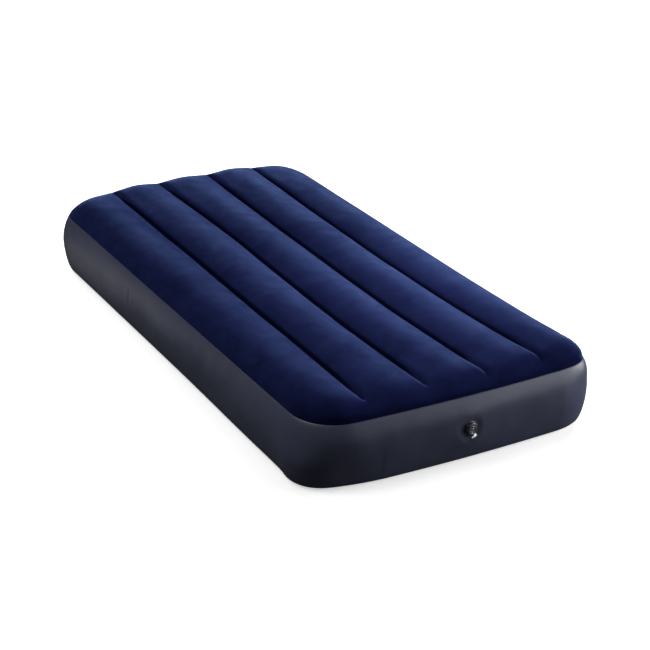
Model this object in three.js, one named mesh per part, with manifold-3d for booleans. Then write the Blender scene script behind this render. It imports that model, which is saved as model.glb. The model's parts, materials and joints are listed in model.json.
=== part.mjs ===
// Inflatable air mattress (single bed size) with five lengthwise air chambers, a dark side band and
// a two-in-one valve.
// Units are millimetres, +Z up. +Y runs along the bed towards the head end, and the valve is in the
// middle of the foot end, at -Y. The origin is on the floor under the middle of the bed.
//
// The envelope is three welded sheets: a flocked top sheet, a side band and a bottom sheet. The top
// and bottom sheets' margins are turned inside the band and lapped on it, where they are welded.
// Four upright beams inside tie the top sheet to the bottom sheet, and so draw the four valleys
// between the chambers. A beam is a web with a weld strip along each edge. The beams stop short of
// both ends, so that the air passes round them.
//
// The valve is a moulded base whose flange is welded inside the band, with a threaded neck. A
// housing screws on the neck over a gasket, and holds a one-way flap for a pump. A cap closes the
// housing. The cap and the housing hang on a collar, and the collar hangs on the base by a tether.
import * as THREE from "three";
import Module from "manifold-3d";
import { mergeVertices } from "three/addons/utils/BufferGeometryUtils.js";

// ---- envelope dimensions ----
const HEIGHT_CREST = 247; // top of the chambers above the floor
const SEAM_HALF_X = 446; // top weld line, half the width
const SEAM_HALF_Y = 909; // top weld line, half the length at the corners
const SEAM_BOW = 17; // how far each end wall bows out at its middle
const BOW_START_Y = 560; // the bow fades in from here to the ends
const SEAM_R = 120; // corner radius of the weld line in plan
const SEAM_Z = 190; // height of the top weld line
const BEAM_PITCH = 176; // distance between beams
const VALLEY_Z = 213; // height of the top sheet over a beam
const VALLEY_FLAT = 4; // half width of the welded strip at a valley
const BEAM_END_Y = 867; // where a valley ends, before the bow
const BEAM_SHORT = 12; // how far a beam stops short of its valley's end
const BOTTOM_VALLEY_Z = 20; // how far the bottom sheet is drawn up under a beam
const FOOT_HALF = 52; // half width of the strip on which a chamber rests
const TOP_T = 1.0; // flocked sheet
const BAND_T = 0.6;
const BOTTOM_T = 0.6;
const WEB_T = 0.6;
const STRIP_T = 0.6; // weld strip
const GAP = 0.3; // clearance between neighbouring pieces
const LAP = 10; // width of the top sheet's lapped weld margin
// Side band: [height, outward bulge past the top weld line]
const BAND_PROFILE = [
  [190, 0],
  [174, 9.5],
  [150, 19.5],
  [112, 25.6],
  [72, 23.8],
  [36, 17.5],
  [13, 11],
  [4, 4.5],
];

// ---- valve dimensions shared with the band ----
const VALVE_X = 11;
const VALVE_Z = 105;
const WALL_Y = -952; // outer face of the band at the valve
// The valve's lengths are for its next larger size: the bed's valve is this times as large.
const VALVE_SIZE = 0.88;
const HOLE_R = 19; // hole in the band, before VALVE_SIZE
const FLANGE_R = 33; // radius of the flange welded inside the band
const SEGMENTS = 40; // round the valve's turned parts
// The valve's stiff flange holds the band flat within this zone.
const FLAT_ZONE = { maxY: -900, halfX: 69, minZ: 60, maxZ: 160 };

// ---- materials ----
const material = (color, roughness) =>
  new THREE.MeshStandardMaterial({ color, roughness, metalness: 0 });
const FLOCK = material(0x1c2a5c, 0.95);
const BAND = material(0x30323f, 0.5);
const BOTTOM = material(0x262833, 0.6);
const WEB = material(0x6b6f7a, 0.6);
const STRIP = material(0x50545f, 0.6);
const VALVE_BLACK = material(0x17181c, 0.35);
const TETHER = material(0x9a9da3, 0.2);
const SEAL = material(0x2a2b2e, 0.7);
const FLAP = material(0xb9bcc0, 0.3);

const wasm = await Module();
wasm.setup();
const { Manifold, Mesh } = wasm;

// ---- geometry helpers ----
function geometryFrom(position, index) {
  const geometry = new THREE.BufferGeometry();
  const attribute = new THREE.BufferAttribute(new Float32Array(position), 3);
  geometry.setAttribute("position", attribute);
  geometry.setIndex(Array.from(index));
  geometry.computeVertexNormals();
  return geometry;
}

function solid(geometry, matrix) {
  const bare = geometry.index ? geometry.toNonIndexed() : geometry.clone();
  bare.deleteAttribute("normal");
  bare.deleteAttribute("uv");
  if (matrix) bare.applyMatrix4(matrix);
  const merged = mergeVertices(bare, 1e-4);
  return new Manifold(
    new Mesh({
      numProp: 3,
      vertProperties: merged.attributes.position.array,
      triVerts: new Uint32Array(merged.index.array),
    }),
  );
}

function geometryOf(manifold) {
  const mesh = manifold.getMesh();
  return geometryFrom(mesh.vertProperties, mesh.triVerts);
}

const at = (x, y, z) => new THREE.Matrix4().makeTranslation(x, y, z);

function add(parent, name, geometry, meshMaterial) {
  const mesh = new THREE.Mesh(geometry, meshMaterial);
  mesh.name = name;
  parent.add(mesh);
  return mesh;
}

// Triangles between two closed rings of vertex indices that match one to one.
function joinRings(from, to) {
  return from.flatMap((_, k) => {
    const j = (k + 1) % from.length;
    return [
      [from[k], to[k], from[j]],
      [from[j], to[k], to[j]],
    ];
  });
}

// Gives an open sheet its thickness, on the side away from its faces' normals, and closes its rim.
function thicken(points, triangles, rim, thickness) {
  const count = points.length;
  const outer = points.map((p) => new THREE.Vector3(...p));
  const normals = points.map(() => new THREE.Vector3());
  for (const [a, b, c] of triangles) {
    const normal = outer[b].clone().sub(outer[a]).cross(outer[c].clone().sub(outer[a]));
    for (const i of [a, b, c]) normals[i].add(normal);
  }
  const back = outer.map((p, i) => p.clone().addScaledVector(normals[i].normalize(), -thickness));
  const position = [...outer, ...back].flatMap((p) => [p.x, p.y, p.z]);
  const sides = triangles.flatMap(([a, b, c]) => [a, b, c, c + count, b + count, a + count]);
  const edge = joinRings(rim, rim.map((i) => i + count)).flat();
  return geometryFrom(position, [...sides, ...edge]);
}

// ---- plan of the envelope ----
// Rows run across the bed. Columns keep their x between the beams, and the outermost chambers'
// columns follow the outline.
const BEAM_X = [-1.5, -0.5, 0.5, 1.5].map((k) => k * BEAM_PITCH);
const CHAMBER_COLUMNS = 4; // spaces between columns across each of the three middle chambers
const SIDE_SHARE = [0, 0.22, 0.46, 0.7, 0.88, 1]; // columns across an outermost chamber
const ROWS = [-SEAM_HALF_Y, -903, -887, -BEAM_END_Y, -844, -818, -782, -702, -405, 0];
const rowY = [...ROWS, ...ROWS.slice(0, -1).reverse().map((y) => -y)];

const smooth = (t) => {
  const u = Math.min(1, Math.max(0, t));
  return u * u * (3 - 2 * u);
};
const arch = (x) => Math.max(0, 1 - (x / SEAM_HALF_X) ** 2);
const bow = (x, y) =>
  Math.sign(y) *
  SEAM_BOW *
  arch(x) *
  smooth((Math.abs(y) - BOW_START_Y) / (SEAM_HALF_Y - BOW_START_Y));

function halfWidth(y) {
  const over = Math.abs(y) - (SEAM_HALF_Y - SEAM_R);
  if (over <= 0) return SEAM_HALF_X;
  return SEAM_HALF_X - SEAM_R + Math.sqrt(Math.max(0, SEAM_R * SEAM_R - over * over));
}

const spans = (a, b, n) => Array.from({ length: n + 1 }, (_, i) => a + ((b - a) * i) / n);
const middleX = BEAM_X.slice(1).flatMap((x, i) =>
  spans(BEAM_X[i] + VALLEY_FLAT, x - VALLEY_FLAT, CHAMBER_COLUMNS),
);

function rowPoints(y) {
  const start = BEAM_X[3] + VALLEY_FLAT;
  const side = SIDE_SHARE.map((share) => start + (halfWidth(y) - start) * share);
  const xs = [...side.map((x) => -x).reverse(), ...middleX, ...side];
  return xs.map((x) => [x, y + bow(x, y)]);
}

const grid = rowY.map(rowPoints);
const plan = grid.flat();
const COLUMN_COUNT = grid[0].length;
const ROW_COUNT = grid.length;
const gridIndex = (r, c) => r * COLUMN_COUNT + c;

// The outline as a loop of grid indices, anticlockwise seen from above.
function outline() {
  const indices = [];
  for (let c = 0; c < COLUMN_COUNT; c++) indices.push(gridIndex(0, c));
  for (let r = 1; r < ROW_COUNT; r++) indices.push(gridIndex(r, COLUMN_COUNT - 1));
  for (let c = COLUMN_COUNT - 2; c >= 0; c--) indices.push(gridIndex(ROW_COUNT - 1, c));
  for (let r = ROW_COUNT - 2; r > 0; r--) indices.push(gridIndex(r, 0));
  return indices;
}
const loop = outline();
const loopXY = loop.map((i) => plan[i]);
const loopNormals = loopXY.map(([x, y], k) => {
  const [x0, y0] = loopXY[(k + loop.length - 1) % loop.length];
  const [x1, y1] = loopXY[(k + 1) % loop.length];
  const before = Math.hypot(x - x0, y - y0);
  const after = Math.hypot(x1 - x, y1 - y);
  const nx = (y - y0) / before + (y1 - y) / after;
  const ny = -(x - x0) / before - (x1 - x) / after;
  const length = Math.hypot(nx, ny);
  return [nx / length, ny / length];
});

// The outline's k-th point moved outwards by an offset, at a height.
function wallPoint(k, offset, z) {
  const [x, y] = loopXY[k];
  const [nx, ny] = loopNormals[k];
  return [x + nx * offset, y + ny * offset, z];
}

// The grid's faces. Each quarter of the plan mirrors its neighbours' diagonals.
function gridFaces() {
  const triangles = [];
  for (let r = 0; r < ROW_COUNT - 1; r++)
    for (let c = 0; c < COLUMN_COUNT - 1; c++) {
      const p00 = gridIndex(r, c);
      const p01 = gridIndex(r, c + 1);
      const p10 = gridIndex(r + 1, c);
      const p11 = gridIndex(r + 1, c + 1);
      if ((r < ROW_COUNT / 2 - 0.5) === (c < COLUMN_COUNT / 2 - 0.5))
        triangles.push([p00, p01, p11], [p00, p11, p10]);
      else triangles.push([p00, p01, p10], [p01, p11, p10]);
    }
  return triangles;
}
const faces = gridFaces();

// The band's profile moved inwards by a depth, as [height, offset] points that match BAND_PROFILE
// one to one.
function profileAt(depth) {
  const last = BAND_PROFILE.length - 1;
  const outward = (i) => {
    const [z0, offset0] = BAND_PROFILE[i];
    const [z1, offset1] = BAND_PROFILE[i + 1];
    const dz = z1 - z0;
    const dOffset = offset1 - offset0;
    const length = Math.hypot(dz, dOffset);
    return [dOffset / length, -dz / length];
  };
  return BAND_PROFILE.map(([z, offset], i) => {
    const u = outward(Math.max(0, i - 1));
    const v = outward(Math.min(last - 1, i));
    const k = 1 + u[0] * v[0] + u[1] * v[1];
    return [z - (depth * (u[0] + v[0])) / k, offset - (depth * (u[1] + v[1])) / k];
  });
}
const LINING = profileAt(BAND_T + GAP); // where the other sheets' margins lie against the band

// ---- the crown of the top sheet ----
// An inflated sheet held at the weld line and along the beams: its height settles where tension
// balances pressure.
const CROWN = {
  startRise: 20, // first guess of the height above the weld line
  radius: 129, // tension over pressure
  endFill: 1.2, // how much rounder the sheet is over the open air passages at the ends
  endReach: 72, // how far from the end walls that roundness reaches
  rounds: 60, // times the weights are worked out afresh
  sweeps: 60, // relaxation sweeps in each round
};

// Cotangent weights between neighbouring points, and each point's share of plan area.
function sheetWeights(heights) {
  const weights = plan.map(() => new Map());
  const area = plan.map(() => 0);
  const link = (i, j, w) => weights[i].set(j, (weights[i].get(j) || 0) + w);
  for (const face of faces) {
    const P = face.map((i) => new THREE.Vector3(plan[i][0], plan[i][1], heights[i]));
    const [a, b, c] = P;
    const flat = Math.abs((b.x - a.x) * (c.y - a.y) - (c.x - a.x) * (b.y - a.y)) / 2;
    for (let k = 0; k < 3; k++) {
      area[face[k]] += flat / 3;
      const u = P[(k + 1) % 3].clone().sub(P[k]);
      const v = P[(k + 2) % 3].clone().sub(P[k]);
      const cot = Math.max(0.001, u.dot(v) / Math.max(1e-9, u.clone().cross(v).length()));
      const i = face[(k + 1) % 3];
      const j = face[(k + 2) % 3];
      link(i, j, cot / 2);
      link(j, i, cot / 2);
    }
  }
  return { weights, area };
}

function crownHeights() {
  const heights = plan.map(() => SEAM_Z + CROWN.startRise);
  const held = plan.map(() => false);
  const hold = (i, z) => {
    held[i] = true;
    heights[i] = z;
  };
  loop.forEach((i) => hold(i, SEAM_Z + GAP));
  const besideBeam = (x) => BEAM_X.some((b) => Math.abs(Math.abs(x - b) - VALLEY_FLAT) < 0.01);
  grid.forEach((row, r) =>
    row.forEach(([x], c) => {
      if (besideBeam(x) && Math.abs(rowY[r]) <= BEAM_END_Y + 1) hold(gridIndex(r, c), VALLEY_Z);
    }),
  );
  const load = plan.map(([x, y]) => {
    const fromEnd = SEAM_HALF_Y + SEAM_BOW * arch(x) - Math.abs(y);
    return (1 + CROWN.endFill * Math.exp(-((fromEnd / CROWN.endReach) ** 2))) / CROWN.radius;
  });
  for (let round = 0; round < CROWN.rounds; round++) {
    const { weights, area } = sheetWeights(heights);
    for (let sweep = 0; sweep < CROWN.sweeps; sweep++)
      for (let i = 0; i < plan.length; i++) {
        if (held[i]) continue;
        let sum = load[i] * area[i];
        let total = 0;
        for (const [j, weight] of weights[i]) {
          sum += weight * heights[j];
          total += weight;
        }
        heights[i] = sum / total;
      }
  }
  const scale = (HEIGHT_CREST - VALLEY_Z) / (Math.max(...heights) - VALLEY_Z);
  return heights.map((z) => (z > VALLEY_Z ? VALLEY_Z + (z - VALLEY_Z) * scale : z));
}

// ---- sheets ----
function topSheet() {
  const EDGE_INSET = 0.3; // of the fold, inwards from the lining
  const EDGE_RISE = 0.2; // of the fold, over the gap above the band
  const heights = crownHeights();
  const points = plan.map(([x, y], i) => [x, y, heights[i]]);
  const [[z0, offset0], [z1, offset1]] = LINING;
  const hemOffset = offset0 + (offset1 - offset0) * (LAP / (z0 - z1));
  loop.forEach((i, k) => {
    points[i] = wallPoint(k, offset0 - EDGE_INSET, SEAM_Z + GAP + EDGE_RISE);
  });
  const hem = loop.map((_, k) => points.push(wallPoint(k, hemOffset, z0 - LAP)) - 1);
  return thicken(points, [...faces, ...joinRings(loop, hem)], hem, TOP_T);
}

function bottomSheet() {
  const EDGE_INSET = 4; // of the sheet's fold, inwards from the top weld line
  const FADE_START_Y = BEAM_END_Y - 40; // the valleys fade out from here
  const FADE_LENGTH = 70;
  const VALLEY_POWER = 1.1; // shapes the valley's sides
  const sideWidth = BEAM_PITCH / 2 - FOOT_HALF;
  const points = plan.map(([x, y]) => {
    const fromBeam = Math.min(...BEAM_X.map((b) => Math.abs(x - b)));
    const d = Math.max(0, fromBeam - VALLEY_FLAT);
    const fade = 1 - smooth((Math.abs(y) - FADE_START_Y) / FADE_LENGTH);
    const fall = Math.sin((Math.PI / 2) * (d / sideWidth)) ** VALLEY_POWER;
    return [x, y, d < sideWidth ? BOTTOM_VALLEY_Z * (1 - fall) * fade : 0];
  });
  loop.forEach((i, k) => {
    points[i] = wallPoint(k, -EDGE_INSET, 0);
  });
  // the margin runs up the lowest stretch of the lining
  const [upper, lower] = LINING.slice(-2);
  const addRing = ([z, offset]) => loop.map((_, k) => points.push(wallPoint(k, offset, z)) - 1);
  const fold = addRing(lower);
  const hem = addRing(upper);
  const triangles = [...faces, ...joinRings(loop, fold), ...joinRings(fold, hem)];
  const facingDown = triangles.map(([a, b, c]) => [a, c, b]);
  return thicken(points, facingDown, [...hem].reverse(), BOTTOM_T);
}

function sideBand() {
  const inFlatZone = ([x, y, z]) =>
    y < FLAT_ZONE.maxY &&
    Math.abs(x - VALVE_X) < FLAT_ZONE.halfX &&
    z > FLAT_ZONE.minZ &&
    z < FLAT_ZONE.maxZ;
  const points = [];
  const ringsAt = (depth) =>
    profileAt(depth).map(([z, offset]) =>
      loop.map((_, k) => {
        const point = wallPoint(k, offset, z);
        if (inFlatZone(point)) point[1] = WALL_Y + depth;
        return points.push(point) - 1;
      }),
    );
  const outer = ringsAt(0);
  const inner = ringsAt(BAND_T);
  const around = [...outer, ...inner.reverse()];
  const triangles = around.flatMap((ring, i) => joinRings(ring, around[(i + 1) % around.length]));
  const radius = HOLE_R * VALVE_SIZE;
  const hole = solid(
    new THREE.CylinderGeometry(radius, radius, 30, SEGMENTS),
    at(VALVE_X, WALL_Y, VALVE_Z),
  );
  return geometryOf(solid(geometryFrom(points.flat(), triangles.flat())).subtract(hole));
}

// ---- beams ----
function webGeometry(length, lowZ, topZ, cutY, cutZ) {
  const end = length / 2;
  const outlineYZ = [
    [-end + cutY, lowZ],
    [end - cutY, lowZ],
    [end, lowZ + cutZ],
    [end, topZ],
    [-end, topZ],
    [-end, lowZ + cutZ],
  ];
  const shape = new THREE.Shape(outlineYZ.map(([y, z]) => new THREE.Vector2(y, z)));
  const web = new THREE.ExtrudeGeometry(shape, { depth: WEB_T, bevelEnabled: false });
  // shape x -> bed y, shape y -> bed z, depth -> bed x
  return web.applyMatrix4(
    new THREE.Matrix4().makeBasis(
      new THREE.Vector3(0, 1, 0),
      new THREE.Vector3(0, 0, 1),
      new THREE.Vector3(1, 0, 0),
    ),
  );
}

function beam(x, number) {
  const STRIP_W = 2 * VALLEY_FLAT - 1;
  // the web's lower corners are cut back where the bottom sheet comes down to the floor
  const CUT_Y = 65;
  const CUT_Z = 20;
  const length = 2 * (BEAM_END_Y + bow(x, BEAM_END_Y) - BEAM_SHORT);
  const top = VALLEY_Z - TOP_T - GAP;
  const low = BOTTOM_VALLEY_Z + BOTTOM_T + GAP;
  const group = new THREE.Group();
  group.position.x = x;
  const addStrip = (edge, z, stripLength) => {
    const geometry = new THREE.BoxGeometry(STRIP_W, stripLength, STRIP_T);
    add(group, `beam_${number}_${edge}_weld_strip`, geometry, STRIP).position.z = z;
  };
  addStrip("top", top - STRIP_T / 2, length);
  addStrip("bottom", low + STRIP_T / 2, length - 2 * CUT_Y);
  const web = webGeometry(length, low + STRIP_T + GAP, top - STRIP_T - GAP, CUT_Y, CUT_Z);
  add(group, `beam_${number}_web`, web, WEB).position.x = -WEB_T / 2;
  return group;
}

// ---- valve ----
// In the valve's own group +Y points out of the bed, from the band's outer face. The group is
// turned over, so the bed's +Z is the group's -Z. A direction round the axis is an angle seen from
// outside, anticlockwise from the bed's +X. Outlines are [radius, height] points, anticlockwise.
const STRAP_ANGLE = (-65 * Math.PI) / 180; // where the straps leave the collar
const STRAP_W = 12; // width of the tether strap and its lug
const CAP_STRAP_W = 9;
const NECK_TOP = 11;
const PORT_R = 11; // bore of the filling tube
const THREAD = {
  pitch: 3,
  steps: 24, // in one turn
  startY: 3.6,
  rootWidth: 1.5,
  crestWidth: 0.7,
};
const PIN_Y = -5.7; // axis of the flap's pins
const PIN_Z = -12.4;

// Carries +X to a direction round the axis.
const turnTo = (angle) => new THREE.Matrix4().makeRotationY(angle);
const toStrap = turnTo(STRAP_ANGLE);

// A disc turned from an outline that starts and ends on the axis.
const disc = (points) =>
  solid(new THREE.LatheGeometry(points.map(([r, y]) => new THREE.Vector2(r, y)), SEGMENTS));
// A ring turned from an outline clear of the axis.
const ring = (points) => disc([...points, points[0]]);

function box({ size, centre, turn = new THREE.Matrix4() }) {
  return solid(new THREE.BoxGeometry(...size), turn.clone().multiply(at(...centre)));
}

// A bar along X on the flap's pin axis.
function pinBar(radius, length, x) {
  const matrix = new THREE.Matrix4().makeRotationZ(Math.PI / 2).setPosition(x, PIN_Y, PIN_Z);
  return solid(new THREE.CylinderGeometry(radius, radius, length, 16), matrix);
}

// A right-handed screw ridge, which stands outwards or inwards from its root radius.
function screwRidge({ rootR, crestR, turns, start = 0 }) {
  const steps = Math.round(turns * THREAD.steps);
  const section = [
    [rootR, -THREAD.rootWidth / 2],
    [crestR, -THREAD.crestWidth / 2],
    [crestR, THREAD.crestWidth / 2],
    [rootR, THREAD.rootWidth / 2],
  ];
  const position = [];
  for (let i = 0; i <= steps; i++) {
    const angle = start + (i / THREAD.steps) * 2 * Math.PI;
    const y = THREAD.startY + (i / THREAD.steps) * THREAD.pitch;
    // over its last three steps the ridge tapers to a quarter of its depth
    const taper = Math.min(1, Math.min(i, steps - i) / 3 + 0.25);
    for (const [r, dy] of section) {
      const radius = rootR + (r - rootR) * taper;
      // anticlockwise seen from +Y is from +X towards -Z
      position.push(
        radius * Math.cos(angle),
        y + dy * (0.6 + 0.4 * taper),
        -radius * Math.sin(angle),
      );
    }
  }
  // an inward ridge's section runs clockwise, so its faces are turned round
  const inward = crestR < rootR;
  const index = [];
  const quad = (a, b, c, d) =>
    inward ? index.push(b, a, c, c, a, d) : index.push(a, b, c, a, c, d);
  for (let i = 0; i < steps; i++)
    for (let k = 0; k < 4; k++) {
      const a = i * 4 + k;
      const b = i * 4 + ((k + 1) % 4);
      quad(a, a + 4, b + 4, b);
    }
  quad(0, 1, 2, 3);
  const end = steps * 4;
  quad(end, end + 3, end + 2, end + 1);
  return solid(geometryFrom(position, index));
}

// Base: flange inside the band, neck through it, screw thread outside the neck.
function valveBase() {
  const flangeR = FLANGE_R / VALVE_SIZE;
  const flangeTop = -(BAND_T + GAP) / VALVE_SIZE;
  return ring([
    [15.5, -2.6],
    [flangeR - 0.8, -2.6],
    [flangeR, -2.1],
    [flangeR, flangeTop],
    [18, flangeTop],
    [18, NECK_TOP - 0.5],
    [17.5, NECK_TOP],
    [15.5, NECK_TOP],
  ]).add(screwRidge({ rootR: 17.8, crestR: 19.2, turns: 2 }));
}

// Gasket between the neck's rim and the housing's plate.
function valveGasket() {
  const outlinePoints = [
    [15.7, 11.3], [17.9, 11.3], [18.1, 12],
    [17.9, 12.7], [15.7, 12.7], [15.5, 12],
  ];
  return ring(outlinePoints);
}

// Housing: knurled cap nut with a central filling tube that runs down inside the neck.
function valveHousing() {
  const PLATE_IN = 13;
  const PLATE_OUT = 15;
  const RIBS = 24;
  const CROSS_Y = -3.2;
  const EAR_X = 5.2;
  let housing = ring([
    // skirt, with the collar's groove
    [19.8, 1.7], [22.6, 1.7], [22.6, 2.6], [21.2, 2.8], [21.2, 5], [22.4, 5.2],
    // rounded shoulder and plate
    [22.4, 11.6], [22.1, 12.9], [21.3, 14], [20, 14.7], [18.2, PLATE_OUT], [14, PLATE_OUT],
    // filling tube
    [12.6, 14.6], [PORT_R + 0.6, 14.6], [PORT_R, 14], [PORT_R, -4], [13, -4],
    [13, PLATE_IN], [19.8, PLATE_IN],
  ]);
  // grip ribs
  for (let i = 0; i < RIBS; i++) {
    const turn = turnTo((i / RIBS) * 2 * Math.PI);
    housing = housing.add(box({ size: [1.3, 6.2, 2.0], centre: [22.45, 8.7, 0], turn }));
  }
  // female thread, half a pitch between the neck's turns
  housing = housing.add(screwRidge({ rootR: 20, crestR: 18.55, turns: 1.5, start: Math.PI }));
  // a cross inside the tube's inner end holds the flap against pressure
  const crossLength = 2 * PORT_R + 1;
  housing = housing
    .add(box({ size: [crossLength, 1.6, 1.8], centre: [0, CROSS_Y, 0] }))
    .add(box({ size: [1.8, 1.6, crossLength], centre: [0, CROSS_Y, 0] }));
  // two ears carry the flap's pins, over the tube's upper side
  for (const x of [-EAR_X, EAR_X]) {
    const ear = box({ size: [1.6, 5.2, 3], centre: [x, -4.6, PIN_Z] });
    housing = housing.add(ear.subtract(pinBar(0.95, 6, x)));
  }
  return housing;
}

// One-way flap: a thin disc, cut straight at its upper edge, with a linked pin bar.
function checkFlap() {
  return disc([[0, -5.0], [11.9, -5.0], [11.9, -4.4], [0, -4.4]])
    .subtract(box({ size: [16, 4, 6.5], centre: [0, -4.6, -13.75] }))
    .add(pinBar(0.65, 11.4, 0))
    .add(box({ size: [7.4, 0.6, 3], centre: [0, -5.1, -10.9] }));
}

// Collar: turns freely in the housing's groove, and carries the cap's strap and the tether.
function tetherCollar() {
  const lug = box({ size: [5.4, 1.6, STRAP_W], centre: [26.2, 3.9, 0], turn: toStrap });
  const upright = box({ size: [1.1, 11.6, CAP_STRAP_W], centre: [24.95, 8.9, 0], turn: toStrap });
  return ring([[21.6, 3.1], [24.4, 3.1], [24.6, 3.5], [24.6, 4.3], [24.4, 4.7], [21.6, 4.7]])
    .add(lug)
    .add(upright);
}

// Cap: a plug with a dished top, a strap towards the collar's upright, and a finger tab opposite.
function valveCap() {
  const strap = box({ size: [12.2, 1.2, CAP_STRAP_W], centre: [20.2, 16, 0], turn: toStrap });
  const tab = solid(
    new THREE.CylinderGeometry(4.6, 4.6, 1.3, 24),
    turnTo(STRAP_ANGLE + Math.PI).multiply(at(16.4, 16.2, 0)),
  );
  return disc([
    // plug
    [0, 13.4], [8.2, 13.4], [8.2, 10.4], [9.9, 10.4], [10.45, 11.4], [10.45, 15.4],
    // rim and dished top
    [14.6, 15.4], [15.2, 15.9], [15.2, 17.0], [14.4, 17.8], [11, 17.8], [9.6, 17.2], [0, 17.2],
  ])
    .add(strap)
    .add(tab);
}

// Tether: a ring round the neck, with a strap that loops back up to the collar's lug.
function valveTether() {
  const LOW = 0.3;
  const HIGH = 1.3;
  const STRAP_START = 19.6;
  const STRAP_END = 29.3;
  const BEND = { r: 32, y: 2.9, outer: 2.6, inner: 1.4 }; // the loop's centre and radii
  const quarter = Math.PI / 2;
  const side = new THREE.Shape(); // in [radius, height]
  side.moveTo(STRAP_START, LOW);
  side.lineTo(BEND.r, LOW);
  side.absarc(BEND.r, BEND.y, BEND.outer, -quarter, quarter, false);
  side.lineTo(STRAP_END, 5.5);
  side.lineTo(STRAP_END, 4.3);
  side.lineTo(BEND.r, 4.3);
  side.absarc(BEND.r, BEND.y, BEND.inner, quarter, -quarter, true);
  side.lineTo(BEND.r, 1.5);
  side.lineTo(30, HIGH);
  side.lineTo(STRAP_START, HIGH);
  const strap = new THREE.ExtrudeGeometry(side, {
    depth: STRAP_W,
    bevelEnabled: false,
    curveSegments: 10,
  });
  strap.translate(0, 0, -STRAP_W / 2);
  return ring([[18.5, LOW], [21.8, LOW], [21.8, HIGH], [18.5, HIGH]]).add(solid(strap, toStrap));
}

function valve() {
  const group = new THREE.Group();
  group.position.set(VALVE_X, WALL_Y, VALVE_Z);
  group.rotation.x = Math.PI;
  group.scale.setScalar(VALVE_SIZE);
  add(group, "valve_base", geometryOf(valveBase()), VALVE_BLACK);
  add(group, "valve_gasket", geometryOf(valveGasket()), SEAL);
  add(group, "valve_housing", geometryOf(valveHousing()), VALVE_BLACK);
  add(group, "check_flap", geometryOf(checkFlap()), FLAP);
  add(group, "tether_collar", geometryOf(tetherCollar()), TETHER);
  add(group, "valve_cap", geometryOf(valveCap()), VALVE_BLACK);
  add(group, "valve_tether", geometryOf(valveTether()), TETHER);
  return group;
}

// ---- the whole bed ----
const root = new THREE.Group();
add(root, "top_sheet", topSheet(), FLOCK);
add(root, "bottom_sheet", bottomSheet(), BOTTOM);
add(root, "side_band", sideBand(), BAND);
BEAM_X.forEach((x, i) => root.add(beam(x, i + 1)));
root.add(valve());

export default root;
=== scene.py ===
"""An inflated air bed with a flocked top, four long beams inside and a valve at the foot.

It lies flat on z = 0, centred on x = y = 0, with its length along y. The foot is at -y.
Left is -x and right is +x, as seen from the foot. Lengths are in metres; the valve's are in mm.
"""
import json
import math

import bpy
import bmesh
import numpy as np
from mathutils import Matrix, Vector


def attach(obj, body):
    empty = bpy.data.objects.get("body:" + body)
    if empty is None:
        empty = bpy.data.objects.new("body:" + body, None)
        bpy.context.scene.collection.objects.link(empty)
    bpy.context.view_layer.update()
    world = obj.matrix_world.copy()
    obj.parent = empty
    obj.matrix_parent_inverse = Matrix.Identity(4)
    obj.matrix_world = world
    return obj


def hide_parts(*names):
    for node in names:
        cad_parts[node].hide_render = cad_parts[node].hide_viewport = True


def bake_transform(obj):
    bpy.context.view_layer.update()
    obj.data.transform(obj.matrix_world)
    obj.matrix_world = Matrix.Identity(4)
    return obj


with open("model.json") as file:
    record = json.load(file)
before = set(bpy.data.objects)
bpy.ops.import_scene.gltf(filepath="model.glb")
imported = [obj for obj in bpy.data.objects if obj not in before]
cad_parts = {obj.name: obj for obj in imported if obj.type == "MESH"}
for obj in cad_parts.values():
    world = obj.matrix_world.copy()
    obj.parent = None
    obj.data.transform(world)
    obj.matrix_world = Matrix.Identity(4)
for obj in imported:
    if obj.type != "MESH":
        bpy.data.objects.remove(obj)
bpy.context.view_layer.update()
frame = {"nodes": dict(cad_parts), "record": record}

scene = bpy.context.scene
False  # quick and full builds are alike

# ------------------------------------------------------------------ driving sizes
CREST_Z = 0.2466
VALLEY_Z = 0.2133
WELD_Z = 0.1903  # weld line between top sheet and side band
HALF_WIDTH = 0.446  # of the weld line
HALF_LENGTH = 0.909  # of the weld line, at the corners
CORNER_R = 0.120
CORNER_X, CORNER_Y = HALF_WIDTH - CORNER_R, HALF_LENGTH - CORNER_R  # corner centres
BOW = 0.017  # how far each end bows out at its middle
PITCH = 0.176  # between beams
BEAMS = np.array([-1.5, -0.5, 0.5, 1.5]) * PITCH
BEAM_END = 0.867  # half length of the grooves underneath
FOOT_ENDS = (0.862, 0.866, 0.886, 0.888)  # |y| where each valley ends, left to right
HEAD_ENDS = (0.862, 0.859, 0.861, 0.868)
WELD_HALF = 0.0022  # half width of the flat weld over a beam
VALVE = np.array([0.011, -0.952, 0.105])
FLANGE_R = 0.0345  # the valve's flange, behind the band
FOOT_WALL_Y = -0.9  # band points beyond this are in the foot wall
TOP_THICK = 0.0008
VINYL_THICK = 0.0006


# ------------------------------------------------------------------ falloffs and noise
def smooth(t):
    t = np.clip(t, 0, 1)
    return t * t * (3 - 2 * t)


def hump(distance, width):
    return np.exp(-((distance / width) ** 2))


def bell(distance, sigma):
    return np.exp(-0.5 * (distance / sigma) ** 2)


class Waves:
    """Smooth seeded noise: a sum of plane waves with wavelengths between low and high."""

    def __init__(self, seed, low, high, count=28):
        rng = np.random.default_rng(seed)
        number = 2 * np.pi / np.exp(rng.uniform(np.log(low), np.log(high), count))
        direction = rng.normal(size=(count, 3))
        direction /= np.linalg.norm(direction, axis=1)[:, None]
        self.vectors = direction * number[:, None]
        self.phases = rng.uniform(0, 2 * np.pi, count)
        self.gain = math.sqrt(2.0 / count)

    def __call__(self, points):
        return np.sin(np.asarray(points) @ self.vectors.T + self.phases).sum(axis=1) * self.gain


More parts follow.
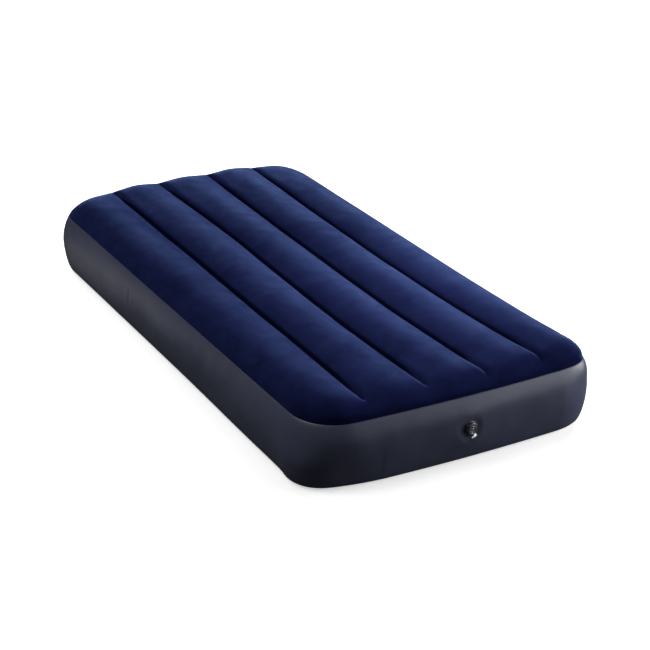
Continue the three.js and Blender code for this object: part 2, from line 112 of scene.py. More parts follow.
# ------------------------------------------------------------------ plan grid
def bow(x, y):
    across = np.maximum(0, 1 - (x / HALF_WIDTH) ** 2)
    return np.sign(y) * BOW * across * smooth((np.abs(y) - 0.56) / (HALF_LENGTH - 0.56))


def half_width(y):
    over = np.abs(y) - CORNER_Y
    arc = np.sqrt(np.maximum(0, CORNER_R**2 - np.maximum(over, 0) ** 2))
    return np.where(over <= 0, HALF_WIDTH, CORNER_X + arc)


def beam_distance(X):
    return np.min(np.abs(X[..., None] - BEAMS), axis=-1)


def nearest_beam(X):
    return np.argmin(np.abs(X[..., None] - BEAMS), axis=-1)


def valley_ends(X, Y):
    beam = nearest_beam(X)
    return np.where(Y < 0, np.array(FOOT_ENDS)[beam], np.array(HEAD_ENDS)[beam])


def fractions(count, ease):
    """0 to 1 in count steps, closer together at both ends."""
    t = np.linspace(0, 1, count + 1)
    return (1 - ease) * t + ease * t * t * (3 - 2 * t)


def plan_grid(n_inner, n_side, n_arc, n_long):
    """X, bowed Y, which points the welds hold, and Y before bowing; a row for each y."""
    arc = np.linspace(0, np.pi / 2, n_arc + 1)
    foot_rows = -(CORNER_Y + CORNER_R * np.sin(arc[::-1]))
    straight = np.linspace(-CORNER_Y, CORNER_Y, n_long + 1)
    rows = np.concatenate([foot_rows, straight[1:-1], -foot_rows[::-1]])
    columns, held = [], []
    for i, beam in enumerate(BEAMS):
        columns += [beam - WELD_HALF, beam, beam + WELD_HALF]
        held += [True] * 3
        if i < len(BEAMS) - 1:
            low, high = beam + WELD_HALF, BEAMS[i + 1] - WELD_HALF
            columns += list(low + (high - low) * fractions(n_inner, 0.8)[1:-1])
            held += [False] * (n_inner - 1)
    right = columns[-1]
    reach = half_width(rows)[:, None] - right
    side = right + reach * fractions(n_side, 0.7)[1:]
    X = np.hstack([-side[:, ::-1], np.tile(columns, (len(rows), 1)), side])
    Y = np.repeat(rows[:, None], X.shape[1], axis=1)
    free_side = np.zeros(n_side, bool)
    held = np.concatenate([free_side, held, free_side]) & (np.abs(Y) <= valley_ends(X, Y))
    return X, Y + bow(X, Y), held, Y


def grid_faces(rows, columns):
    i = np.arange(rows * columns).reshape(rows, columns)
    quads = np.stack([i[:-1, :-1], i[:-1, 1:], i[1:, 1:], i[1:, :-1]], axis=-1)
    return quads.reshape(-1, 4)


def outline(X, Y):
    """A grid's border: its point numbers, plan positions and outward normals."""
    i = np.arange(X.size).reshape(X.shape)
    loop = np.concatenate([i[0, :], i[1:, -1], i[-1, -2::-1], i[-2:0:-1, 0]])
    points = np.stack([X.ravel()[loop], Y.ravel()[loop]], axis=1)
    before = points - np.roll(points, 1, axis=0)
    after = np.roll(points, -1, axis=0) - points
    before /= np.linalg.norm(before, axis=1)[:, None]
    after /= np.linalg.norm(after, axis=1)[:, None]
    tangent = before + after
    normals = np.stack([tangent[:, 1], -tangent[:, 0]], axis=1)
    return loop, points, normals / np.linalg.norm(normals, axis=1)[:, None]


def ring_points(points, normals, height, out):
    return np.column_stack([points + normals * out, np.full(len(points), height)])


def add_rings(verts, faces, border, rings, flip=False):
    """Add rings of [height, outward offset], each joined to the one before."""
    previous, points, normals = border
    for height, out in rings:
        ring = len(verts) + np.arange(len(points))
        verts = np.vstack([verts, ring_points(points, normals, height, out)])
        quads = np.stack([previous, ring, np.roll(ring, -1), np.roll(previous, -1)], axis=1)
        faces = np.vstack([faces, quads[:, [0, 3, 2, 1]] if flip else quads])
        previous = ring
    return verts, faces


# ------------------------------------------------------------------ inflated sheet
def conjugate_gradient(multiply, diagonal, rhs, free, z):
    """Solve for the free heights, with the others kept."""
    rhs = rhs - multiply(np.where(free, 0, z))
    heights = np.where(free, z, 0)
    residual = np.where(free, rhs - multiply(heights), 0)
    inverse = 1 / np.maximum(diagonal, 1e-9)
    direction = inverse * residual
    size = residual @ direction
    for _ in range(260):
        image = np.where(free, multiply(direction), 0)
        step = size / max(direction @ image, 1e-30)
        heights += step * direction
        residual -= step * image
        scaled = inverse * residual
        new_size = residual @ scaled
        if new_size < 1e-16:
            break
        direction = scaled + (new_size / size) * direction
        size = new_size
    return np.where(free, heights, z)


def inflate(X, Y, held, start, load):
    """Heights of a sheet under pressure: least area for the volume, like a soap film."""
    x, y, z = X.ravel(), Y.ravel(), start.ravel().copy()
    free = ~held.ravel()
    count = x.size
    quads = grid_faces(*X.shape)
    tris = np.concatenate([quads[:, k] for k in ([0, 1, 2], [0, 2, 3], [0, 1, 3], [1, 2, 3])])
    # each edge's two ends, and the point opposite
    edges = [(tris[:, k], tris[:, (k + 1) % 3], tris[:, (k + 2) % 3]) for k in range(3)]
    push = np.zeros(count)
    for i, j, o in edges:
        flat = np.abs((x[j] - x[i]) * (y[o] - y[i]) - (x[o] - x[i]) * (y[j] - y[i])) / 2
        push += np.bincount(i, flat / 6, count)
    push = push * load
    for _ in range(9):
        points = np.stack([x, y, z], axis=1)
        first, second, weight = [], [], []
        for i, j, o in edges:
            u, v = points[i] - points[o], points[j] - points[o]
            cross = np.linalg.norm(np.cross(u, v), axis=1)
            cotangent = np.clip((u * v).sum(1) / np.maximum(cross, 1e-12), -50, 50) * 0.25
            first += [i, j]
            second += [j, i]
            weight += [cotangent, cotangent]
        first, second, weight = map(np.concatenate, (first, second, weight))
        diagonal = np.bincount(first, weight, count)

        def multiply(values):
            return diagonal * values - np.bincount(first, weight * values[second], count)

        z = conjugate_gradient(multiply, diagonal, push, free, z)
    return z.reshape(X.shape)


# ------------------------------------------------------------------ mesh helpers
def make_object(name, verts, faces):
    mesh = bpy.data.meshes.new(name)
    mesh.from_pydata(
        [tuple(map(float, v)) for v in verts], [], [tuple(map(int, f)) for f in faces]
    )
    mesh.update()
    mesh.shade_smooth()
    ob = bpy.data.objects.new(name, mesh)
    scene.collection.objects.link(ob)
    return ob


def apply_all(ob):
    depsgraph = bpy.context.evaluated_depsgraph_get()
    depsgraph.update()
    mesh = bpy.data.meshes.new_from_object(ob.evaluated_get(depsgraph), depsgraph=depsgraph)
    mesh.name = ob.name
    ob.modifiers.clear()
    ob.data = mesh


def subdivide(ob):
    mod = ob.modifiers.new("Subdivision", "SUBSURF")
    mod.levels = mod.render_levels = 1
    mod.boundary_smooth = "PRESERVE_CORNERS"
    apply_all(ob)


def thicken(ob, thickness):
    mod = ob.modifiers.new("Solidify", "SOLIDIFY")
    mod.thickness = thickness
    mod.offset = -1
    mod.use_even_offset = True
    apply_all(ob)


def get_coords(ob):
    co = np.zeros(len(ob.data.vertices) * 3, np.float32)
    ob.data.vertices.foreach_get("co", co)
    return co.reshape(-1, 3).astype(float)


def set_coords(ob, co):
    ob.data.vertices.foreach_set("co", co.astype(np.float32).ravel())
    ob.data.update()


# ------------------------------------------------------------------ uneven corners
def from_corner(co, side_x, side_y):
    """Plan offsets from a corner's centre, and their lengths."""
    rel = co[:, :2] - np.array([side_x * CORNER_X, side_y * CORNER_Y])
    return rel, np.maximum(np.linalg.norm(rel, axis=1), 1e-6)


def square_corner(co):
    """The foot end's right corner is a little squarer than the others."""
    rel, r = from_corner(co, 1, -1)
    inside = (rel[:, 0] > 0) & (rel[:, 1] < 0)
    diagonal = np.where(inside, (2 * rel[:, 0] * rel[:, 1] / (r * r)) ** 2, 0)
    amount = 0.0042 + 0.0085 * smooth((co[:, 2] - 0.12) / 0.06)
    out = co.copy()
    out[:, :2] += rel / r[:, None] * (amount * diagonal * smooth(r / CORNER_R) * inside)[:, None]
    return out


def shape_corners(co):
    """Square the right foot corner; low down, push the left one out sideways and in endways."""
    co = square_corner(co)
    rel, r = from_corner(co, -1, -1)
    angle = np.degrees(np.arctan2(rel[:, 1], rel[:, 0]))
    inside = (rel[:, 0] < 0.08) & (rel[:, 1] < 0.10) & (r > 0.05)
    low = smooth((0.15 - co[:, 2]) / 0.10)
    diagonal = bell(angle + 152, 17)
    side = bell(np.where(angle > 0, angle - 360, angle) + 178, 12)
    end = bell(angle + 100, 18)
    push = (0.0080 * diagonal + 0.003 * side - 0.0080 * end) * low * inside
    out = co.copy()
    out[:, :2] += rel / r[:, None] * push[:, None]
    # the left side leans out a little more towards the foot
    lean = smooth((-0.05 - co[:, 1]) / 0.60) * smooth((-CORNER_X - co[:, 0]) / 0.08)
    out[:, 0] -= 0.0055 * lean * smooth((0.15 - co[:, 2]) / 0.08)
    return out


# ------------------------------------------------------------------ top sheet: crown
X, Y, held, Y_PLAN = plan_grid(n_inner=16, n_side=15, n_arc=13, n_long=120)
edge = np.zeros(X.shape, bool)
edge[0, :] = edge[-1, :] = edge[:, 0] = edge[:, -1] = True
start = np.full(X.shape, 0.235)
start[held] = VALLEY_Z
start[edge] = WELD_Z
# the sheet stands rounder at the ends, and the outermost chambers lie a little flatter
from_end = HALF_LENGTH + BOW * (1 - (X / HALF_WIDTH) ** 2) - np.abs(Y)
load = (1 + 1.2 * hump(from_end, 0.072)) / 0.129
outermost = np.abs(X) > 1.5 * PITCH
load *= 1 - 0.12 * outermost * smooth((from_end - 0.05) / 0.15) * smooth((Y + 0.65) / 0.5)
# the foot corners stand fuller, the right one most
corner = hump(from_end, 0.12) * smooth((np.abs(X) - 1.6 * PITCH) / 0.06)
load *= 1 + corner * np.where(Y > 0, 0.0, np.where(X > 0, 0.6, 0.5))
Z = inflate(X, Y, held | edge, start, load.ravel())
RISE = CREST_Z - VALLEY_Z
Z = np.where(Z > VALLEY_Z, VALLEY_Z + (Z - VALLEY_Z) * RISE / (Z.max() - VALLEY_Z), Z)

# the weld holds a sharp crease, so the sheet leaves it steeper than the chamber's arc
CREASE = 0.0058
beam_index = nearest_beam(X)
beam_reach = valley_ends(X, Y)
off_weld = np.maximum(0, beam_distance(X) - WELD_HALF)
in_span = 1 - smooth((np.abs(Y_PLAN) - beam_reach + 0.030) / 0.045)
in_span *= smooth((half_width(Y_PLAN) - np.abs(X)) / 0.09)
Z = Z + in_span * (
    CREASE * (1 - np.exp(-off_weld / 0.0065)) - np.maximum(0, Z - VALLEY_Z) * CREASE / RISE
)

# Valleys rise towards their ends and wander sideways. A row per beam, left to right:
# lift and drift in mm at each of the y stations.
STATIONS = (-0.87, -0.80, -0.73, -0.58, -0.42, -0.26, -0.10, 0.08, 0.26, 0.45, 0.65, 0.80, 0.87)
LIFT = (
    (6, 5, 3, 1, 0, 0, 0, 0, 2, 5, 8, 9, 9),
    (9, 8, 5, 1, 0, 0, 0, 0, 2, 5, 8, 8, 8),
    (12, 7, 4, 1, 0, 0, 0, 0, 0, 3, 7, 9, 9),
    (14, 9, 5, 1, 0, 0, 0, 0, 0, 2, 6, 8, 8),
)
DRIFT = (
    (-8, -8, -6, -1, 2, 1, 4, 6, 8, 4, 5, 4, 4),
    (2, 2, 1, 1, -1, 1, 5, 9, 14, 11, 4, 1, 1),
    (12, 8, 6, 4, -1, 0, 0, 3, 4, 5, 5, 8, 8),
    (15, 11, 8, 3, -2, -5, -7, -5, -3, -2, 1, 2, 2),
)


def along(table, y):
    """Each beam's row of a table as smooth values at y, in metres."""
    grid = np.linspace(-1.2, 1.2, 961)
    pad = 48
    kernel = bell(np.arange(-pad, pad + 1) * 0.0025, 0.035)
    kernel /= kernel.sum()
    values = []
    for row in table:
        line = np.interp(grid, STATIONS, np.array(row) * 0.001)
        line = np.convolve(np.pad(line, pad, mode="edge"), kernel, mode="valid")
        values.append(np.interp(y, grid, line))
    return np.array(values)


lift = np.take_along_axis(along(LIFT, Y_PLAN[:, 0]).T, beam_index, axis=1)
lift *= hump(off_weld, 0.030) * smooth((from_end - 0.01) / 0.05)
Z = Z + lift * smooth((CREST_Z - Z) / 0.020)
drift_x = np.concatenate([[-HALF_WIDTH], BEAMS, [HALF_WIDTH]])
drifts = along(DRIFT, Y_PLAN[:, 0]).T
drift = np.array([np.interp(x, drift_x, [0, *beam, 0]) for x, beam in zip(X, drifts)])
drift *= smooth((from_end - 0.001) / 0.030)

# how far the flock is crushed, with painted groove shade: a tight line over the weld, with a softer
# one round it that is painted shade of the crease
crush_and_groove_shade = np.clip(1 - off_weld / 0.0075, 0, 1) ** 0.7
crush_and_groove_shade = np.maximum(crush_and_groove_shade, 0.55 * np.clip(1 - off_weld / 0.016, 0, 1))
crush_and_groove_shade *= 1 - 0.75 * smooth((np.abs(Y_PLAN) - 0.70) / 0.15)
crush_and_groove_shade *= 1 - smooth((np.abs(Y_PLAN) - beam_reach + 0.01) / 0.02)
X = X + drift

# ------------------------------------------------------------------ top sheet: mesh
border = outline(X, Y)
loop, loop_points, loop_normals = border
top_verts = np.stack([X.ravel(), Y.ravel(), Z.ravel()], axis=1)
top_verts[loop, :2] = loop_points + loop_normals * 0.0004
# the sheet's rim, turned under at the weld line: [height, outward offset]
TOP_RIM = [
    (WELD_Z - 0.0010, 0.0009), (WELD_Z - 0.0017, -0.0006),
    (WELD_Z - 0.0040, -0.0030), (WELD_Z - 0.0085, -0.0012),
]
top_verts, top_faces = add_rings(top_verts, grid_faces(*X.shape), border, TOP_RIM)
top = make_object("top_sheet_flocked", top_verts, top_faces)
crush_and_groove_shade_attr = top.data.attributes.new("crushed_flock_and_groove_shade", "FLOAT", "POINT")
crush_and_groove_shade_values = np.concatenate([crush_and_groove_shade.ravel(), np.zeros(len(top_verts) - crush_and_groove_shade.size)])
crush_and_groove_shade_attr.data.foreach_set("value", crush_and_groove_shade_values.astype(np.float32))
subdivide(top)

# Puckers gathered at the weld line, running in towards a corner's centre:
# corner's side in x and in y, angle in degrees, length, width, depth.
PUCKERS = [
    (1, -1, -17, 0.075, 0.0055, 0.0042),
    (1, -1, -31, 0.055, 0.0050, 0.0032),
    (1, -1, -52, 0.045, 0.0055, 0.0016),
    (-1, -1, -128, 0.060, 0.0060, 0.0018),
    (-1, -1, -155, 0.050, 0.0060, 0.0014),
    (1, 1, 33, 0.070, 0.0060, 0.0028),
    (1, 1, 58, 0.055, 0.0055, 0.0020),
    (-1, 1, 140, 0.070, 0.0060, 0.0026),
    (-1, 1, 118, 0.050, 0.0055, 0.0018),
]


def add_puckers(co):
    for side_x, side_y, degrees, length, width, depth in PUCKERS:
        angle = math.radians(degrees)
        direction = np.array([math.cos(angle), math.sin(angle)])
        rel, _ = from_corner(co, side_x, side_y)
        outward = rel @ direction
        across = rel @ np.array([-direction[1], direction[0]])
        inward = CORNER_R - outward
        spread = width * (0.45 + 0.75 * np.clip(inward / length, 0, 1))
        fold = bell(across, spread)
        ridges = bell(np.abs(across) - 1.9 * spread, 0.9 * spread) * 0.35
        fade = smooth((inward + 0.002) / 0.008)
        fade *= 1 - smooth((inward - 0.2 * length) / (0.8 * length))
        fade *= (outward > 0) & (inward > -0.004)
        co[:, 2] += -depth * (fold - ridges) * fade


def add_unevenness(co):
    """The air doesn't fill every chamber quite alike."""
    amount = smooth((co[:, 2] - 0.19) / 0.03)
    amount *= smooth((beam_distance(co[:, 0]) - 0.002) / 0.03)
    lumps = Waves(3, low=0.25, high=0.7)(co)
    ripples = Waves(4, low=0.05, high=0.12)(co)
    co[:, 2] += amount * (0.0008 * lumps + 0.00008 * ripples) - amount * 0.0004


co = square_corner(get_coords(top))
add_puckers(co)
add_unevenness(co)
set_coords(top, co)
thicken(top, TOP_THICK)

# ------------------------------------------------------------------ side band
# [height, how far it stands out from the weld line], from the top down
BAND_PROFILE = np.array([
    [0.1889, -0.0026], [0.1888, -0.0010], [0.1882, 0.0006], [0.1860, 0.0030],
    [0.1780, 0.0078], [0.1660, 0.0136], [0.1500, 0.0196], [0.1320, 0.0238],
    [0.1120, 0.0260], [0.0920, 0.0258], [0.0720, 0.0242], [0.0540, 0.0216],
    [0.0380, 0.0187], [0.0250, 0.0154], [0.0150, 0.0120], [0.0080, 0.0084],
    [0.0040, 0.0050], [0.0026, 0.0026], [0.0026, 0.0008],
])
# Dents in the side walls: side (-1 left, 1 right), y, z, spread in y and in z, depth.
# The second is a shallow bulge beside the first.
DENTS = [
    (-1, 0.254, 0.122, 0.006, 0.016, 0.0016),
    (-1, 0.268, 0.118, 0.010, 0.022, -0.0008),
    (-1, -0.31, 0.060, 0.03, 0.018, 0.0010),
    (1, -0.12, 0.10, 0.009, 0.028, 0.0022),
    (1, 0.44, 0.08, 0.012, 0.030, 0.0018),
]


def foot_bulge(x, z):
    return 0.0030 * hump(z - 0.148, 0.026) * hump(x, 0.30)


def shape_band(co):
    out = co.copy()
    x, y, z = co.T
    outward = co[:, :2] - np.column_stack(
        [np.clip(x, -CORNER_X, CORNER_X), np.clip(y, -CORNER_Y, CORNER_Y)]
    )
    outward /= np.maximum(np.linalg.norm(outward, axis=1), 1e-9)[:, None]
    wobble = 0.0011 * Waves(7, low=0.18, high=0.6)(co)
    wobble += 0.00035 * Waves(8, low=0.06, high=0.15)(co)
    push = wobble * np.sin(np.pi * np.clip(z / WELD_Z, 0, 1))
    foot_wall = y < FOOT_WALL_Y
    push += foot_bulge(x, z) * foot_wall
    for side, dent_y, dent_z, spread_y, spread_z, depth in DENTS:
        same_side = (np.sign(x) == side) & (np.abs(x) > 0.4)
        squares = ((y - dent_y) / spread_y) ** 2 + ((z - dent_z) / spread_z) ** 2
        push -= depth * np.exp(-0.5 * squares) * same_side
    out[:, :2] += outward * push[:, None]
    # the valve's flange holds the band flat, and the wall blends into it
    dx, dz = out[:, 0] - VALVE[0], out[:, 2] - VALVE[2]
    r = np.maximum(np.hypot(dx, dz), 1e-6)
    to_rim = FLANGE_R / np.maximum(r, FLANGE_R)
    rim_x, rim_z = VALVE[0] + dx * to_rim, VALVE[2] + dz * to_rim
    stand_out = np.interp(rim_z, BAND_PROFILE[::-1, 0], BAND_PROFILE[::-1, 1])
    wall = -(HALF_LENGTH + BOW * (1 - (rim_x / HALF_WIDTH) ** 2) + stand_out)
    wall -= foot_bulge(rim_x, rim_z)
    out[:, 1] += (VALVE[1] - wall) * (1 - smooth((r - FLANGE_R) / 0.045)) * foot_wall
    out[(r < FLANGE_R) & foot_wall, 1] = VALVE[1]
    # and its rim shows through as a low round ridge
    out[:, 1] -= 0.0008 * hump(r - 0.0335, 0.0022) * foot_wall
    return out


def cut_valve_hole(ob):
    """Opening for the valve's neck."""
    mesh = bpy.data.meshes.new("cut")
    bm = bmesh.new()
    bmesh.ops.create_cone(
        bm, cap_ends=True, segments=72, radius1=0.0166, radius2=0.0166, depth=0.05,
        matrix=Matrix.Translation(VALVE) @ Matrix.Rotation(math.pi / 2, 4, "X"),
    )
    bm.to_mesh(mesh)
    bm.free()
    cutter = bpy.data.objects.new("cutter", mesh)
    scene.collection.objects.link(cutter)
    mod = ob.modifiers.new("Hole", "BOOLEAN")
    mod.operation = "DIFFERENCE"
    mod.object = cutter
    mod.solver = "EXACT"
    apply_all(ob)
    bpy.data.objects.remove(cutter)


band_verts, band_faces = add_rings(
    ring_points(loop_points, loop_normals, *BAND_PROFILE[0]),
    np.zeros((0, 4), int),
    (np.arange(len(loop)), loop_points, loop_normals),
    BAND_PROFILE[1:],
)
band = make_object("side_band_vinyl", band_verts, band_faces)
subdivide(band)
set_coords(band, shape_corners(shape_band(get_coords(band))))
thicken(band, VINYL_THICK)
cut_valve_hole(band)

# ------------------------------------------------------------------ bottom sheet
# its margin, turned up round the foot of the band: [height, outward offset]
BOTTOM_RIM = [
    (0.0006, -0.0010), (0.0026, 0.0012), (0.0056, 0.0040), (0.0095, 0.0072), (0.0150, 0.0104),
]
GROOVE_RISE = 0.0185
GROOVE_REACH = PITCH / 2 - 0.052  # from a weld's edge to the flat


def bottom_sheet():
    X, Y, _, y_plan = plan_grid(n_inner=8, n_side=9, n_arc=10, n_long=80)
    off_weld = np.maximum(0, beam_distance(X) - WELD_HALF)
    curve = 1 - np.sin(np.pi / 2 * np.clip(off_weld / GROOVE_REACH, 0, 1)) ** 1.1
    fade = 1 - smooth((np.abs(Y) - (BEAM_END - 0.04)) / 0.07)
    Z = np.where(off_weld < GROOVE_REACH, GROOVE_RISE * curve, 0) * fade
    # the flat underside stops 4 mm short of the outline, and the margin turns up from there
    inset = 0.004
    flat_x = X - np.sign(X) * inset * smooth((np.abs(X) - half_width(y_plan) + 0.10) / 0.10)
    flat_y = Y - np.sign(Y) * inset * smooth((np.abs(Y) - HALF_LENGTH + 0.10) / 0.10)
    verts = np.stack([flat_x.ravel(), flat_y.ravel(), Z.ravel()], axis=1)
    faces = grid_faces(*X.shape)[:, ::-1]
    verts, faces = add_rings(verts, faces, outline(X, Y), BOTTOM_RIM, flip=True)
    ob = make_object("bottom_sheet_vinyl", verts, faces)
    subdivide(ob)
    set_coords(ob, shape_corners(get_coords(ob)))
    thicken(ob, VINYL_THICK)
    return ob


bottom = bottom_sheet()

# ------------------------------------------------------------------ valve: cap, collar, straps
VALVE_SCALE = 0.88  # the valve's mm below are before this scale
STRAP_ANGLE = math.radians(-65)


def at_valve(r, out, angle, side=0.0):
    """Radius, height off the wall, angle seen from outside and sideways offset, to metres."""
    c, s = math.cos(angle), math.sin(angle)
    k = VALVE_SCALE * 0.001
    return (
        VALVE[0] + (r * c - side * s) * k,
        VALVE[1] - out * k,
        VALVE[2] + (r * s + side * c) * k,
    )


def fix_normals(ob):
    bm = bmesh.new()
    bm.from_mesh(ob.data)
    bmesh.ops.recalc_face_normals(bm, faces=bm.faces)
    bm.to_mesh(ob.data)
    bm.free()
    ob.data.shade_smooth()
    return ob


def turned(name, section, closed=True):
    """A ring turned from [radius, height] points; if not closed, a disc from axis to axis."""
    segments = 96
    verts, faces = [], []
    for r, out in section:
        for i in range(segments):
            verts.append(at_valve(max(r, 1e-4), out, 2 * math.pi * i / segments))
    rows = len(section)
    for row in range(rows if closed else rows - 1):
        a, b = row * segments, ((row + 1) % rows) * segments
        for i in range(segments):
            j = (i + 1) % segments
            faces.append((a + i, b + i, b + j, a + j))
    ob = make_object(name, verts, faces)
    if not closed:
        bm = bmesh.new()
        bm.from_mesh(ob.data)
        bmesh.ops.remove_doubles(bm, verts=bm.verts, dist=1e-6)
        bmesh.ops.dissolve_degenerate(bm, edges=bm.edges, dist=1e-7)
        bm.to_mesh(ob.data)
        bm.free()
    return fix_normals(ob)


def soften(values):
    for _ in range(12):
        values[1:-1] = (values[:-2] + 2 * values[1:-1] + values[2:]) / 4
    return values


def swept(name, path, widths, thick, angle=STRAP_ANGLE):
    """A flat strap along [radius, height] points, with rounded edges and ends."""
    around = 24
    path = np.array(path, float)
    steps = np.linalg.norm(np.diff(path, axis=0), axis=1)
    knots = np.concatenate([[0], np.cumsum(steps)])
    run = np.linspace(0, knots[-1], 20 * (len(path) - 1) + 1)
    line = soften(np.column_stack([np.interp(run, knots, path[:, k]) for k in (0, 1)]))
    width = soften(np.interp(run, knots, np.array(widths, float)))
    tangent = np.gradient(line, axis=0)
    tangent /= np.linalg.norm(tangent, axis=1)[:, None]
    normal = np.column_stack([-tangent[:, 1], tangent[:, 0]])
    verts, faces = [], []
    for i in range(len(line)):
        to_end = min(run[i], run[-1] - run[i])
        tip = math.sqrt(max(0.02, 1 - max(0, 1 - to_end / (thick * 0.5)) ** 2))
        narrowing = 1 - 0.16 * max(0, 1 - to_end / 2.0) ** 2
        for k in range(around):
            turn = 2 * math.pi * k / around
            c, s = math.cos(turn), math.sin(turn)
            side = math.copysign(abs(c) ** 0.35, c) * width[i] / 2 * narrowing
            up = math.copysign(abs(s) ** 0.7, s) * thick / 2 * tip
            r, out = line[i] + normal[i] * up
            verts.append(at_valve(r, out, angle, side))
    last = (len(line) - 1) * around
    for a in range(0, last, around):
        b = a + around
        for k in range(around):
            j = (k + 1) % around
            faces.append((a + k, b + k, b + j, a + j))
    faces.append(tuple(range(around)))
    faces.append(tuple(range(last, last + around))[::-1])
    return fix_normals(make_object(name, verts, faces))


tether_ring = turned(
    "tether_ring",
    [(18.6, 0.35), (21.4, 0.3), (21.8, 0.5), (21.8, 1.1), (21.4, 1.3), (18.6, 1.25), (18.4, 0.8)],
)
tether_strap = swept(
    "tether_strap",
    path=[
        (20.5, 0.8), (27, 0.8), (32.2, 0.9), (34.8, 1.8),
        (35.4, 3.0), (34.6, 4.4), (32.2, 5.4), (29.6, 5.0),
    ],
    widths=[10, 13, 18, 20, 20, 19.5, 17, 14],
    thick=1.1,
)
collar_ring = turned(
    "collar_ring",
    [
        (21.7, 3.2), (23.9, 3.1), (24.4, 3.3), (24.6, 3.9),
        (24.4, 4.5), (23.9, 4.7), (21.7, 4.6), (21.5, 3.9),
    ],
)
collar_lug = swept(
    "collar_lug", path=[(23.2, 3.9), (26, 3.9), (28.6, 3.9)], widths=[12, 12, 12], thick=1.5
)
collar_strap = swept(
    "collar_strap",
    path=[(24.6, 4.4), (24.95, 7.0), (25.05, 11.0), (24.9, 14.5)],
    widths=[10.5, 9.2, 9.0, 9.2],
    thick=1.1,
)
cap_body = turned(
    "cap_body",
    [
        (0, 13.4), (7.9, 13.4), (8.2, 13.1), (8.2, 10.8), (8.5, 10.4), (9.7, 10.4),
        (10.2, 10.8), (10.45, 11.6), (10.45, 15.3), (14.3, 15.4), (14.9, 15.6), (15.2, 16.1),
        (15.15, 16.9), (14.7, 17.5), (14.0, 17.8), (11.6, 17.85), (10.9, 17.6), (10.3, 17.1),
        (9.6, 16.8), (6.6, 16.75), (6.2, 16.95), (5.9, 17.3), (5.3, 17.4), (4.9, 17.1),
        (4.6, 16.8), (0, 16.7),
    ],
    closed=False,
)
cap_strap = swept(
    "cap_strap",
    path=[(14.2, 16.0), (18, 16.1), (22, 16.2), (24.6, 16.1), (26.2, 15.9)],
    widths=[8.4, 8.8, 9.4, 9.8, 9.6],
    thick=1.15,
)
cap_tab = swept(
    "cap_tab",
    path=[(13.4, 16.3), (16, 16.5), (19, 17.0), (21, 17.4)],
    widths=[8.6, 9.2, 8.8, 6.4],
    thick=1.3,
    angle=STRAP_ANGLE + math.pi,
)


# ------------------------------------------------------------------ materials
class Material:
    """A Principled material, and short ways to add nodes to it."""

    def __init__(self, name):
        self.material = bpy.data.materials.new(name)
        self.material.use_nodes = True
        self.tree = self.material.node_tree
        self.tree.nodes.clear()
        output = self.node("ShaderNodeOutputMaterial")
        self.shader = self.node("ShaderNodeBsdfPrincipled")
        self.tree.links.new(self.shader.outputs[0], output.inputs["Surface"])
        self.coords = self.node("ShaderNodeTexCoord").outputs["Object"]

    def node(self, kind, **props):
        node = self.tree.nodes.new(kind)
        for key, value in props.items():
            setattr(node, key, value)
        return node

    def put(self, socket, value):
        """Link a socket, or set it; an RGB colour gets alpha 1."""
        if isinstance(value, bpy.types.NodeSocket):
            self.tree.links.new(value, socket)
        elif isinstance(value, tuple) and len(value) == 3 and len(socket.default_value) == 4:
            socket.default_value = (*value, 1)
        else:
            socket.default_value = value

    def stretched(self, scale, turn=0):
        node = self.node("ShaderNodeMapping")
        self.put(node.inputs["Vector"], self.coords)
        self.put(node.inputs["Scale"], scale)
        self.put(node.inputs["Rotation"], (0, 0, turn))
        return node.outputs[0]

    def noise(self, scale, detail=3, rough=0.55, warp=0.0, vector=None):
        node = self.node("ShaderNodeTexNoise")
        self.put(node.inputs["Vector"], vector or self.coords)
        self.put(node.inputs["Scale"], scale)
        self.put(node.inputs["Detail"], detail)
        self.put(node.inputs["Roughness"], rough)
        self.put(node.inputs["Distortion"], warp)
        return node.outputs["Fac"]

    def ramp(self, value, start, end, low=0.0, high=1.0):
        """Grey from low at start to high at end."""
        node = self.node("ShaderNodeValToRGB")
        for element, place, grey in zip(node.color_ramp.elements, (start, end), (low, high)):
            element.position = place
            element.color = (grey, grey, grey, 1)
        self.put(node.inputs[0], value)
        return node.outputs[0]

    def mix(self, factor, a, b):
        node = self.node("ShaderNodeMix", data_type="RGBA", blend_type="MIX")
        self.put(node.inputs[0], factor)
        self.put(node.inputs[6], a)
        self.put(node.inputs[7], b)
        return node.outputs[2]

    def math(self, operation, a, b=0.0, c=0.0):
        node = self.node("ShaderNodeMath", operation=operation)
        for socket, value in zip(node.inputs, (a, b, c)):
            self.put(socket, value)
        return node.outputs[0]

    def centred(self, value):
        return self.math("SUBTRACT", value, 0.5)

    def bump(self, height, strength, distance, normal=None):
        node = self.node("ShaderNodeBump")
        self.put(node.inputs["Height"], height)
        node.inputs["Strength"].default_value = strength
        node.inputs["Distance"].default_value = distance
        if normal is not None:
            self.put(node.inputs["Normal"], normal)
        return node.outputs[0]

    def finish(self, **inputs):
        """Set the shader's inputs, with _ for a space in their names."""
        for key, value in inputs.items():
            self.put(self.shader.inputs[key.replace("_", " ")], value)
        return self.material


